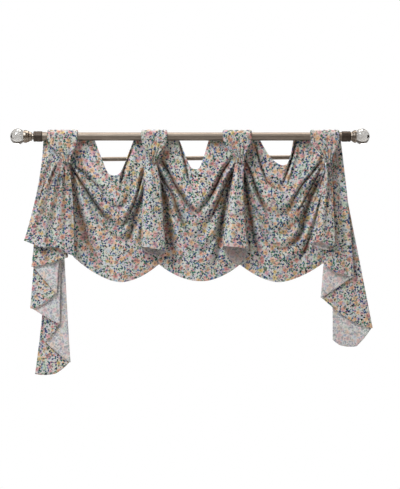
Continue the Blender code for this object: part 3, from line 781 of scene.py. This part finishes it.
def make_print_group(spacing):
    """Node group: the small all-over flower print, and how much ink lies at each place."""
    tree, given, result = new_group(
        "Ditsy Flower Print",
        [("Place", "NodeSocketVector", None), ("Ground", "NodeSocketColor", (0.7, 0.7, 0.7, 1))],
        [("Color", "NodeSocketColor"), ("Ink", "NodeSocketFloat")],
    )
    salmon, peach, rose = srgb(204, 130, 106), srgb(212, 164, 116), srgb(186, 100, 108)
    pink, lilac, ochre = srgb(206, 142, 156), srgb(160, 150, 186), srgb(200, 176, 96)
    navy, blue, teal = srgb(44, 62, 108), srgb(84, 118, 168), srgb(44, 104, 92)
    moss, black, rust = srgb(80, 116, 80), srgb(28, 26, 34), srgb(134, 68, 54)
    cream, pale_blue, mint = srgb(222, 210, 192), srgb(170, 194, 208), srgb(170, 200, 182)
    haze, blush = srgb(186, 178, 192), srgb(208, 182, 174)
    motifs = (
        Motif(
            "flower", spacing=1.0, offset=(0.0, 0.0, 0), size=0.36, petals=5, soft=0.15,
            colours=[
                (0.0, salmon), (0.16, peach), (0.36, pink), (0.54, mint), (0.64, ochre), (0.74, peach),
                (0.84, pale_blue), (0.9, rose),
            ],
        ),
        Motif(
            "flower", spacing=0.62, offset=(0.031, 0.057, 0), size=0.36, petals=5, soft=0.09,
            colours=[
                (0.0, lilac), (0.18, rose), (0.34, peach), (0.5, pink), (0.66, mint), (0.8, pale_blue),
                (0.9, salmon),
            ],
        ),
        Motif(
            "flower", spacing=0.2, offset=(0.013, 0.083, 0), size=0.3, petals=3, soft=0.06,
            colours=[(0.0, teal), (0.25, rose), (0.5, moss), (0.7, rust), (0.85, blue)],
        ),
        Motif(
            "leaf", spacing=0.42, offset=(0.011, 0.003, 0), size=0.55, width=0.24,
            colours=[(0.0, teal), (0.3, moss), (0.6, navy), (0.8, teal)],
        ),
        Motif(
            "flower", spacing=0.42, offset=(0.073, 0.029, 0), size=0.32, petals=4, soft=0.05,
            colours=[(0.0, navy), (0.3, blue), (0.44, black), (0.56, teal), (0.7, navy)],
        ),
        Motif(
            "leaf", spacing=0.5, offset=(0.047, 0.091, 0), size=0.42, width=0.23,
            colours=[(0.0, black), (0.3, teal), (0.6, navy), (0.8, moss)],
        ),
    )
    waver, tint_share, pale_rim, heart_size, heart_share, kept_under_large = 0.005, 0.45, 1.2, 0.26, 0.5, 0.5
    warp = add_node(tree, "ShaderNodeTexNoise", set_noise_dimensions="2D", Vector=given["Place"], Scale=160.0)
    shift = vector_calc(tree, "SCALE", vector_calc(tree, "SUBTRACT", warp.outputs[1], (0.5, 0.5, 0.5)), waver)
    place = vector_calc(tree, "ADD", given["Place"], shift)
    blotch = add_node(tree, "ShaderNodeTexNoise", set_noise_dimensions="2D", Vector=place, Scale=70.0)
    tints = [(0.3, pale_blue), (0.42, haze), (0.54, cream), (0.66, mint), (0.76, blush)]
    colour = mix_colour(tree, tint_share, given["Ground"], ramp(tree, blotch.outputs[0], tints))
    ink, large_flowers = 0.0, None
    for motif in motifs:
        local, distance, random = cells(tree, place, spacing * motif.spacing, motif.offset)
        if motif.form == "leaf":
            mask = leaf_mask(tree, local, random[1], motif)
        else:
            mask = petal_mask(tree, local, distance, random[1], motif)
        left_out = 0.34 if motif.spacing > 0.5 else 0.5
        mask = calc(tree, "MULTIPLY", mask, calc(tree, "GREATER_THAN", random[2], left_out))
        if large_flowers is not None:
            covered = calc(tree, "MULTIPLY", large_flowers, kept_under_large)
            mask = calc(tree, "MULTIPLY", mask, calc(tree, "SUBTRACT", 1.0, covered))
        paint = ramp(tree, random[0], motif.colours, "CONSTANT")
        if motif.spacing > 0.5:
            paint = mix_colour(tree, calc(tree, "MULTIPLY", distance, pale_rim, clamp=True), paint, cream)
            heart = calc(tree, "LESS_THAN", distance, motif.size * heart_size)
            heart_colour = rust if large_flowers is None else lilac
            paint = mix_colour(tree, calc(tree, "MULTIPLY", heart, heart_share), paint, heart_colour)
        if large_flowers is None:
            large_flowers = mask
        colour = mix_colour(tree, mask, colour, paint)
        ink = calc(tree, "MAXIMUM", ink, mask)
    tree.links.new(colour, result["Color"])
    tree.links.new(ink, result["Ink"])
    return tree


def make_weave_group():
    """Node group: the threads of a plain weave, as a height."""
    group, given, result = new_group(
        "Plain Weave",
        [("Place", "NodeSocketVector", None), ("Threads per Metre", "NodeSocketFloat", 2400.0)],
        [("Height", "NodeSocketFloat")],
    )
    turn = calc(group, "MULTIPLY", given["Threads per Metre"], math.pi)
    over, under = (calc(group, "SINE", calc(group, "MULTIPLY", s, turn)) for s in axes(group, given["Place"]))
    group.links.new(calc(group, "MULTIPLY", over, under), result["Height"])
    return group


def make_stitch_group():
    """Node group: a row of stitches beside a hemmed edge, and the hem's own fold."""
    group, given, result = new_group(
        "Hem Stitches",
        [("Hem Place", "NodeSocketVector", None), ("Hem Width", "NodeSocketFloat", 0.009)],
        [("Thread", "NodeSocketFloat"), ("Fold", "NodeSocketFloat")],
    )
    half_thread, stitches_per_metre, gap_share = 0.35 * MM, 330.0, 0.3
    from_hem, place = axes(group, given["Hem Place"])
    aside = calc(group, "ABSOLUTE", calc(group, "SUBTRACT", from_hem, given["Hem Width"]))
    line = calc(group, "LESS_THAN", aside, half_thread)
    along = calc(group, "FRACT", calc(group, "MULTIPLY", place, stitches_per_metre))
    dash = calc(group, "GREATER_THAN", along, gap_share)
    group.links.new(calc(group, "MULTIPLY", line, dash), result["Thread"])
    group.links.new(calc(group, "LESS_THAN", from_hem, given["Hem Width"]), result["Fold"])
    return group


def make_brush_group():
    """Node group: fine brushed lines along a piece, as a height and as a change of gloss."""
    group, given, result = new_group(
        "Brushed Lines",
        [("Place", "NodeSocketVector", None), ("Stretch", "NodeSocketVector", (20.0, 900.0, 900.0))],
        [("Height", "NodeSocketFloat"), ("Gloss", "NodeSocketFloat")],
    )
    patch_gloss, line_gloss = 0.3, 0.25
    stretched = vector_calc(group, "MULTIPLY", given["Place"], given["Stretch"])
    lines = add_node(group, "ShaderNodeTexNoise", Vector=stretched, Scale=1.0, Detail=3.0)
    patches = add_node(group, "ShaderNodeTexNoise", Vector=given["Place"], Scale=30.0, Detail=2.0)
    gloss = calc(group, "MULTIPLY", lines.outputs[0], line_gloss)
    gloss = calc(group, "MULTIPLY_ADD", patches.outputs[0], patch_gloss, gloss)
    group.links.new(lines.outputs[0], result["Height"])
    group.links.new(gloss, result["Gloss"])
    return group


def new_material(name):
    """The node tree and the Principled shader of a new material."""
    material = bpy.data.materials.new(name)
    material.use_nodes = True
    return material.node_tree, material.node_tree.nodes["Principled BSDF"]


def use_group(tree, group, **values):
    """The outputs of a placed node group with its inputs set."""
    return fill(tree, add_node(tree, "ShaderNodeGroup", set_node_tree=group), **values).outputs


def make_cotton_materials():
    """The printed right side of the cloth, and its paler back where the print shows through faintly."""
    wrong_side_share, thread_share, thread_colour = 0.44, 0.6, srgb(226, 220, 210)
    cloth_roughness, ink_gloss, deepest_shade = 0.93, -0.06, 0.9
    fold_height, thread_height = 1.5, 1.5
    settings = bpy.context.scene.swag_cloth
    flowers = make_print_group(settings.flower_size)
    weave = make_weave_group()
    stitches = make_stitch_group()
    for name, face in (("printed_cotton_face", True), ("printed_cotton_back", False)):
        tree, shader = new_material(name)
        place, hem_place, painted_shade_place = (
            add_node(tree, "ShaderNodeUVMap", set_uv_map=layer).outputs[0]
            for layer in ("Print", "Hem", "Crease")
        )
        crease = axes(tree, painted_shade_place)[0]
        printed = use_group(tree, flowers, Place=place, Ground=(*settings.ground, 1))
        threads = use_group(tree, weave, Place=place)
        hem = use_group(tree, stitches, Hem_Place=hem_place, Hem_Width=settings.hem_width)
        colour = printed["Color"]
        if not face:
            colour = mix_colour(tree, wrong_side_share, colour, settings.wrong_side)
        worn = add_node(tree, "ShaderNodeTexNoise", Vector=place, Scale=18.0, Detail=3.0)
        fade = ramp(tree, worn.outputs[0], [(0.3, (0.9, 0.89, 0.88)), (0.7, (1, 1, 1))])
        colour = mix_colour(tree, 1.0, colour, fade, "MULTIPLY")
        # Painted shade: the cloth's colour is darkened towards the crease shade colour wherever the Crease
        # layer holds shade, in creases, pleat troughs, beside ridges and inside the horns
        shaded = ramp(tree, crease, [(0.0, (1, 1, 1)), (deepest_shade, settings.crease_shade)])
        colour = mix_colour(tree, 1.0, colour, shaded, "MULTIPLY")
        colour = mix_colour(tree, calc(tree, "MULTIPLY", hem["Thread"], thread_share), colour, thread_colour)
        rough = calc(tree, "MULTIPLY_ADD", printed["Ink"], ink_gloss, cloth_roughness)
        height = calc(tree, "MULTIPLY_ADD", hem["Fold"], fold_height, threads["Height"])
        height = calc(tree, "MULTIPLY_ADD", hem["Thread"], thread_height, height)
        bump = add_node(tree, "ShaderNodeBump", Strength=0.35, Distance=0.2 * MM, Height=height)
        fill(
            tree, shader, Base_Color=colour, Roughness=rough, Normal=bump.outputs[0], Sheen_Weight=0.12,
            Sheen_Roughness=0.5, Specular_IOR_Level=0.2,
        )


def make_metal_materials():
    """Brushed nickel for the rods and cups, and dark bronze for the collars and brackets."""
    brushed_tone, rough_range = 0.72, 0.35
    settings = bpy.context.scene.swag_hardware
    brush = make_brush_group()
    finishes = (
        ("brushed_nickel_finish", settings.nickel, (20.0, 900.0, 900.0), 0.42, 1.0),
        ("turned_nickel_finish", settings.nickel, (1100.0, 40.0, 40.0), 0.27, 1.0),
        ("dark_bronze_finish", settings.bronze, (300.0, 300.0, 300.0), 0.36, 0.75),
    )
    for name, colour, stretch, rough, metal in finishes:
        tree, shader = new_material(name)
        place = add_node(tree, "ShaderNodeTexCoord").outputs["Object"]
        lines = use_group(tree, brush, Place=place, Stretch=stretch)
        paint = mix_colour(tree, lines["Gloss"], colour, tuple(value * brushed_tone for value in colour))
        roughness = calc(tree, "MULTIPLY_ADD", lines["Gloss"], rough_range, rough)
        bump = add_node(tree, "ShaderNodeBump", Strength=0.2, Distance=0.05 * MM, Height=lines["Height"])
        fill(
            tree, shader, Base_Color=paint, Roughness=roughness, Normal=bump.outputs[0], Metallic=metal,
            Specular_Tint=(0.1, 0.09, 0.08, 1),
        )


def make_glass_material():
    """Clear polished glass for the knobs, with faint waves in its surface."""
    smear_range = 0.03
    tree, shader = new_material("clear_glass_finish")
    place = add_node(tree, "ShaderNodeTexCoord").outputs["Object"]
    waves = add_node(tree, "ShaderNodeTexNoise", Vector=place, Scale=55.0, Detail=1.0)
    tint = ramp(tree, waves.outputs[0], [(0.3, (0.4, 0.39, 0.38)), (0.7, (0.64, 0.64, 0.63))])
    smear = calc(tree, "MULTIPLY", waves.outputs[0], smear_range, clamp=True)
    bump = add_node(tree, "ShaderNodeBump", Strength=0.05, Distance=0.5 * MM, Height=waves.outputs[0])
    fill(
        tree, shader, Base_Color=tint, Roughness=smear, Normal=bump.outputs[0], Transmission_Weight=1.0,
        IOR=1.5,
    )


def turned_piece(name, node, profile, place, side, material, closed=False):
    """A turned piece about the X axis that replaces a node, from distances along the axis and radii."""
    mesh = bmesh.new()
    columns = []
    for k in range(TURNED_STEPS):
        turn = 2 * math.pi * k / TURNED_STEPS
        ring = [(side * along, radius * math.cos(turn), radius * math.sin(turn)) for along, radius in profile]
        columns.append([mesh.verts.new(point) for point in ring])
    for first, second in zip(columns, columns[1:] + columns[:1]):
        pairs = list(zip(first, second))
        joints = list(zip(pairs, pairs[1:])) + ([(pairs[-1], pairs[0])] if closed else [])
        for (a, b), (c, d) in joints:
            mesh.faces.new((a, b, d, c))
    bmesh.ops.remove_doubles(mesh, verts=mesh.verts, dist=WELD_DISTANCE)
    bmesh.ops.recalc_face_normals(mesh, faces=mesh.faces)
    data = bpy.data.meshes.new(name)
    mesh.to_mesh(data)
    mesh.free()
    data.shade_smooth()
    data.set_sharp_from_angle(angle=SHARP_ANGLE)
    data.materials.append(bpy.data.materials[material])
    piece = new_object(name, data)
    piece.location = place
    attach(piece, BODY)
    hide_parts(node)
    return piece

def cup_profile(length, radius):
    """Distances along a finial's cup and its radii, from its narrow neck to its ribbed bell."""
    ribs = bpy.context.scene.swag_hardware.ribs
    bell_points, widest_at, plain_share = 24, 0.8, 0.3
    end_radius, waist_radius, neck_radius, shoulder_radius = 9.7 * MM, 9.2 * MM, 10.4 * MM, 13.3 * MM
    bell_radius, rib_height, rib_base, lip = 13.6 * MM, 0.8 * MM, 0.5 * MM, 2 * MM
    bell_length = min(24 * MM, length - 1 * MM)
    neck = length - bell_length
    profile = [(0, 0), (0, end_radius), (neck * 0.7, waist_radius), (neck, neck_radius)]
    profile.append((neck, shoulder_radius))
    for i in range(bell_points + 1):
        t = i / bell_points
        bell = bell_radius + (radius - bell_radius) * smooth(min(1, t / widest_at))
        rib = rib_height * max(0.0, math.sin(2 * math.pi * ribs * t)) if t > plain_share else 0
        profile.append((neck + bell_length * t, min(radius, bell - rib_base + rib)))
    return [*profile, (length, radius - lip), (length, 0)]


def knob_profile(length, radius):
    """Distances along a glass knob and its radii, from its flat seat in the cup to its round end."""
    seat_radius, points = 15.8 * MM, 32
    seat = math.asin(seat_radius / radius)
    half = length / (1 + math.cos(seat))
    profile = [(0, 0)]
    for i in range(points):
        angle = seat + (math.pi - seat) * i / points
        profile.append((half * (math.cos(seat) - math.cos(angle)), radius * math.sin(angle)))
    return [*profile, (length, 0)]


class SWAG_OT_materials(bpy.types.Operator):
    """Make the cloth, metal and glass materials"""

    bl_idname = "window_swag.materials"
    bl_label = "Make materials"

    def execute(self, context):
        make_cotton_materials()
        make_metal_materials()
        make_glass_material()
        return {"FINISHED"}


class SWAG_OT_scoops(bpy.types.Operator):
    """Drape the scoops between the gathers"""

    bl_idname = "window_swag.scoops"
    bl_label = "Drape scoops"

    def execute(self, context):
        tables = (
            ("left", LEFT_SCOOP, LEFT_CREASES, 0),
            ("middle", MIDDLE_SCOOP, MIDDLE_CREASES, 1),
            ("right", RIGHT_SCOOP, RIGHT_CREASES, 2),
        )
        for label, table, creases, first in tables:
            left, right = GATHERS[first], GATHERS[first + 1]
            rows, shade = scoop_rows(table, left, right, creases, seed=3.7 * (first + 1))
            cloth_piece(
                f"scoop_{label}", rows, shade, hems="tb", layout="front",
            )
        return {"FINISHED"}


class SWAG_OT_horns(bpy.types.Operator):
    """Hang the two middle horns"""

    bl_idname = "window_swag.horns"
    bl_label = "Hang horns"

    def execute(self, context):
        for label, table, loop in (("left", LEFT_HORN, 2), ("right", RIGHT_HORN, 3)):
            rows, shade = horn_rows(table, seed=5.3 * loop)
            cloth_piece(
                f"horn_{label}", rows, shade, hems="b",
            )
        return {"FINISHED"}


class SWAG_OT_cascades(bpy.types.Operator):
    """Fold the two end cascades"""

    bl_idname = "window_swag.cascades"
    bl_label = "Fold cascades"

    def execute(self, context):
        for label, table, creases, loop, flat in (
            ("left", LEFT_CASCADE, WING_CREASES, 1, LEFT_CASCADE_FLAT),
            ("right", RIGHT_CASCADE, TAIL_CREASES, 4, RIGHT_CASCADE_FLAT),
        ):
            rows, shade = cascade_rows(table, creases, seed=9.1 * loop)
            cloth_piece(
                f"cascade_{label}", rows, shade, hems="blr",
                flip=label == "left", layout="fan",
            )
        return {"FINISHED"}


class SWAG_OT_loops(bpy.types.Operator):
    """Wrap the four loops over the front rod"""

    bl_idname = "window_swag.loops"
    bl_label = "Wrap loops"

    def execute(self, context):
        for number, gather in enumerate(GATHERS, start=1):
            rows, shade = loop_rows(gather, seed=2.9 * number)
            cloth_piece(
                f"loop_{number}", rows, shade, hems="lr", flip=True,
            )
        return {"FINISHED"}


class SWAG_OT_rods(bpy.types.Operator):
    """Turn the front and back rods"""

    bl_idname = "window_swag.rods"
    bl_label = "Turn rods"

    def execute(self, context):
        finish, slot = "brushed_nickel_finish", "brushed_nickel"
        half = (ROD_HIGH.x - ROD_LOW.x) / 2
        ease = 1 * MM
        profile = [(-half, 0), (-half, ROD_RADIUS - ease), (-half + ease, ROD_RADIUS)]
        profile += [(half - ease, ROD_RADIUS), (half, ROD_RADIUS - ease), (half, 0)]
        turned_piece("swag_front_rod", "front_rod", profile, ROD_AXIS, 1, finish)
        centre = (BACK_LOW + BACK_HIGH) / 2
        rise = (BACK_HIGH.z - BACK_LOW.z) - 2 * BACK_RADIUS
        length = BACK_HIGH.x - BACK_LOW.x
        half = math.hypot(length, rise) / 2
        step_x, step = -278 * MM, 0.5 * MM
        inner_radius = BACK_RADIUS - step
        profile = [(-half, 0), (-half, inner_radius), (step_x, inner_radius), (step_x, BACK_RADIUS)]
        profile += [(half, BACK_RADIUS), (half, 0)]
        rod = turned_piece("swag_back_rod", "back_rod", profile, centre, 1, finish)
        rod.rotation_euler = (0, -math.atan2(rise, length), 0)
        return {"FINISHED"}


class SWAG_OT_brackets(bpy.types.Operator):
    """Finish the collars and brackets"""

    bl_idname = "window_swag.brackets"
    bl_label = "Finish brackets"

    def execute(self, context):
        dark, nickel = bpy.data.materials["dark_bronze_finish"], bpy.data.materials["brushed_nickel_finish"]
        for label, side in (("left", -1), ("right", 1)):
            low, high = (Vector(corner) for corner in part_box(f"rod_collar_{label}"))
            centre, half, outer = (low + high) / 2, (high.x - low.x) / 2, (high.z - low.z) / 2
            inner, ease = ROD_RADIUS + PIECE_CLEARANCE, 1.2 * MM
            groove = outer - 0.7 * MM
            profile = [(-half, inner), (-half, outer - ease), (-half + ease, outer), (half * 0.3, outer)]
            profile += [(half * 0.34, groove), (half * 0.5, groove), (half * 0.54, outer)]
            profile += [(half - ease, outer), (half, outer - ease), (half, inner)]
            turned_piece(
                f"swag_collar_{label}", f"rod_collar_{label}", profile, centre, side, "dark_bronze_finish",
                closed=True,
            )
            for node in ("wall_plate", "bracket_arm", "back_rod_hanger", "back_rod_cradle"):
                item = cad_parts[f"{node}_{label}"]
                item.data.materials.clear()
                item.data.materials.append(nickel if node == "back_rod_cradle" else dark)
        return {"FINISHED"}


class SWAG_OT_finials(bpy.types.Operator):
    """Turn the metal cups and glass knobs"""

    bl_idname = "window_swag.finials"
    bl_label = "Turn finials"

    def execute(self, context):
        for label, side in (("left", -1), ("right", 1)):
            low, high = (Vector(corner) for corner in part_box(f"finial_cup_{label}"))
            start = Vector((low.x if side > 0 else high.x, ROD_AXIS.y, ROD_AXIS.z))
            profile = cup_profile(high.x - low.x, (high.z - low.z) / 2)
            turned_piece(
                f"swag_cup_{label}", f"finial_cup_{label}", profile, start, side, "turned_nickel_finish",
            )
            low, high = (Vector(corner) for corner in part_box(f"glass_knob_{label}"))
            start = Vector((low.x if side > 0 else high.x, ROD_AXIS.y, ROD_AXIS.z))
            profile = knob_profile(high.x - low.x, (high.z - low.z) / 2)
            turned_piece(
                f"swag_glass_{label}", f"glass_knob_{label}", profile, start, side, "clear_glass_finish",
            )
        return {"FINISHED"}


# A lamp of the studio: its place, width and height in metres, its power in watts, its colour and its aim
Lamp = namedtuple("Lamp", "name place size power colour target")
LAMPS = (
    Lamp("key_light", (-1.5, -2.2, 2.2), (1.7, 1.7), 130, (0.92, 0.97, 1.0), (0, -0.12, -0.3)),
    Lamp("strip_light", (0.2, -2.5, 1.2), (3.4, 0.25), 10, (1.0, 0.96, 0.9), (0, -0.12, -0.1)),
    Lamp("fill_light", (2.0, -3.2, 0.2), (2.4, 2.4), 6, (1.0, 0.8, 0.62), (0, -0.12, -0.3)),
    Lamp("backdrop_light", (0, 0.9, 3.4), (2.4, 2.4), 200, (1.0, 0.95, 0.9), (0, 1.5, -0.6)),
)


def make_screens():
    """A pale floor and a curved wall behind that light the swag and that the camera doesn't see."""
    floor_z, wall_y, wall_top, front_y = -1.35, 1.6, 1.1, -3.0
    sweep, sweep_steps, half_width = 0.8, 16, 2.4
    tree, shader = new_material("studio_floor_finish")
    grain = add_node(tree, "ShaderNodeTexNoise", Scale=3.0)
    pale = ramp(tree, grain.outputs[0], [(0.3, (0.9, 0.9, 0.9)), (0.7, (0.93, 0.93, 0.93))])
    fill(tree, shader, Base_Color=pale, Roughness=1.0, Specular_IOR_Level=0.0)
    floor = [(front_y, floor_z), (wall_y - sweep, floor_z)]
    wall = []
    for i in range(sweep_steps + 1):
        angle = math.pi / 2 * i / sweep_steps
        wall.append((wall_y - sweep + sweep * math.sin(angle), floor_z + sweep * (1 - math.cos(angle))))
    wall.append((wall_y, wall_top))
    for name, outline in (("studio_floor", floor), ("studio_reflector", wall)):
        mesh = bpy.data.meshes.new(name)
        points = [(x, y, z) for y, z in outline for x in (-half_width, half_width)]
        faces = [(2 * i, 2 * i + 1, 2 * i + 3, 2 * i + 2) for i in range(len(outline) - 1)]
        mesh.from_pydata(points, [], faces)
        mesh.shade_smooth()
        mesh.materials.append(bpy.data.materials["studio_floor_finish"])
        screen = new_object(name, mesh)
        screen.visible_camera = False


def make_air():
    """The studio's air: white to the camera, and dim warm light that darkens to the sides and the top."""
    dim, upward_share = 0.14, 0.9
    world = bpy.data.worlds.new("studio_air")
    world.use_nodes = True
    air = world.node_tree
    direction = add_node(air, "ShaderNodeTexCoord").outputs["Generated"]
    split = add_node(air, "ShaderNodeSeparateXYZ", Vector=direction).outputs
    upward = calc(air, "MULTIPLY", split[2], upward_share)
    away = calc(air, "MAXIMUM", calc(air, "ABSOLUTE", split[0]), upward)
    dark_sides = ramp(air, away, [(0.4, (1.0, 0.74, 0.52)), (0.8, (0.1, 0.07, 0.05))])
    seen = add_node(air, "ShaderNodeLightPath").outputs["Is Camera Ray"]
    colour = mix_colour(air, seen, dark_sides, (1, 1, 1))
    strength = calc(air, "MULTIPLY_ADD", seen, 1 - dim, dim)
    fill(air, air.nodes["Background"], Color=colour, Strength=strength)
    bpy.context.scene.world = world


def make_lamps():
    """The studio's lamps."""
    for lamp in LAMPS:
        light = bpy.data.lights.new(lamp.name, "AREA")
        light.shape = "RECTANGLE"
        light.size, light.size_y = lamp.size
        light.energy = lamp.power
        light.color = lamp.colour
        item = new_object(lamp.name, light)
        item.location = lamp.place
        towards = Vector(lamp.target) - Vector(lamp.place)
        item.rotation_euler = towards.to_track_quat("-Z", "Y").to_euler()


def make_camera():
    """A camera that sees the swag at the photograph's scale and place."""
    swag_y, distance, sensor = -0.13, 4.4, 36
    camera = bpy.data.cameras.new("camera")
    camera.sensor_width = sensor
    camera.lens = sensor * distance / (PHOTO_HEIGHT * PIXEL)
    eye = new_object("camera", camera)
    across, up = PHOTO_WIDTH / 2 - MIDDLE_COLUMN, ROD_ROW - PHOTO_HEIGHT / 2
    eye.location = (across * PIXEL, swag_y - distance, up * PIXEL)
    eye.rotation_euler = (math.pi / 2, 0, 0)
    bpy.context.scene.camera = eye
    bpy.context.scene.view_settings.view_transform = "Standard"


class SWAG_OT_studio(bpy.types.Operator):
    """Set up the pale floor and wall, the soft lights and the camera"""

    bl_idname = "window_swag.studio"
    bl_label = "Set up studio"

    def execute(self, context):
        make_screens()
        make_air()
        make_lamps()
        make_camera()
        return {"FINISHED"}


class SWAG_PT_panel(bpy.types.Panel):
    """Buttons for the swag's pieces"""

    bl_idname = "SWAG_PT_panel"
    bl_label = "Window Swag"
    bl_space_type = "VIEW_3D"
    bl_region_type = "UI"
    bl_category = "Window Swag"

    def draw(self, context):
        for settings in (context.scene.swag_cloth, context.scene.swag_hardware):
            for name in settings.bl_rna.properties.keys():
                if name not in ("rna_type", "name"):
                    self.layout.prop(settings, name)
        for operator in OPERATORS:
            self.layout.operator(operator.bl_idname)


OPERATORS = (
    SWAG_OT_materials, SWAG_OT_rods, SWAG_OT_brackets, SWAG_OT_finials, SWAG_OT_loops, SWAG_OT_scoops,
    SWAG_OT_horns, SWAG_OT_cascades, SWAG_OT_studio,
)
CLASSES = (SwagClothSettings, SwagHardwareSettings, *OPERATORS, SWAG_PT_panel)


def register():
    for item in CLASSES:
        bpy.utils.register_class(item)
    bpy.types.Scene.swag_cloth = PointerProperty(type=SwagClothSettings)
    bpy.types.Scene.swag_hardware = PointerProperty(type=SwagHardwareSettings)


def unregister():
    del bpy.types.Scene.swag_cloth
    del bpy.types.Scene.swag_hardware
    for item in reversed(CLASSES):
        bpy.utils.unregister_class(item)


def main():
    register()
    bpy.ops.window_swag.materials()
    bpy.ops.window_swag.rods()
    bpy.ops.window_swag.brackets()
    bpy.ops.window_swag.finials()
    bpy.ops.window_swag.loops()
    bpy.ops.window_swag.scoops()
    bpy.ops.window_swag.horns()
    bpy.ops.window_swag.cascades()
    bpy.ops.window_swag.studio()


if __name__ == "__main__":
    main()
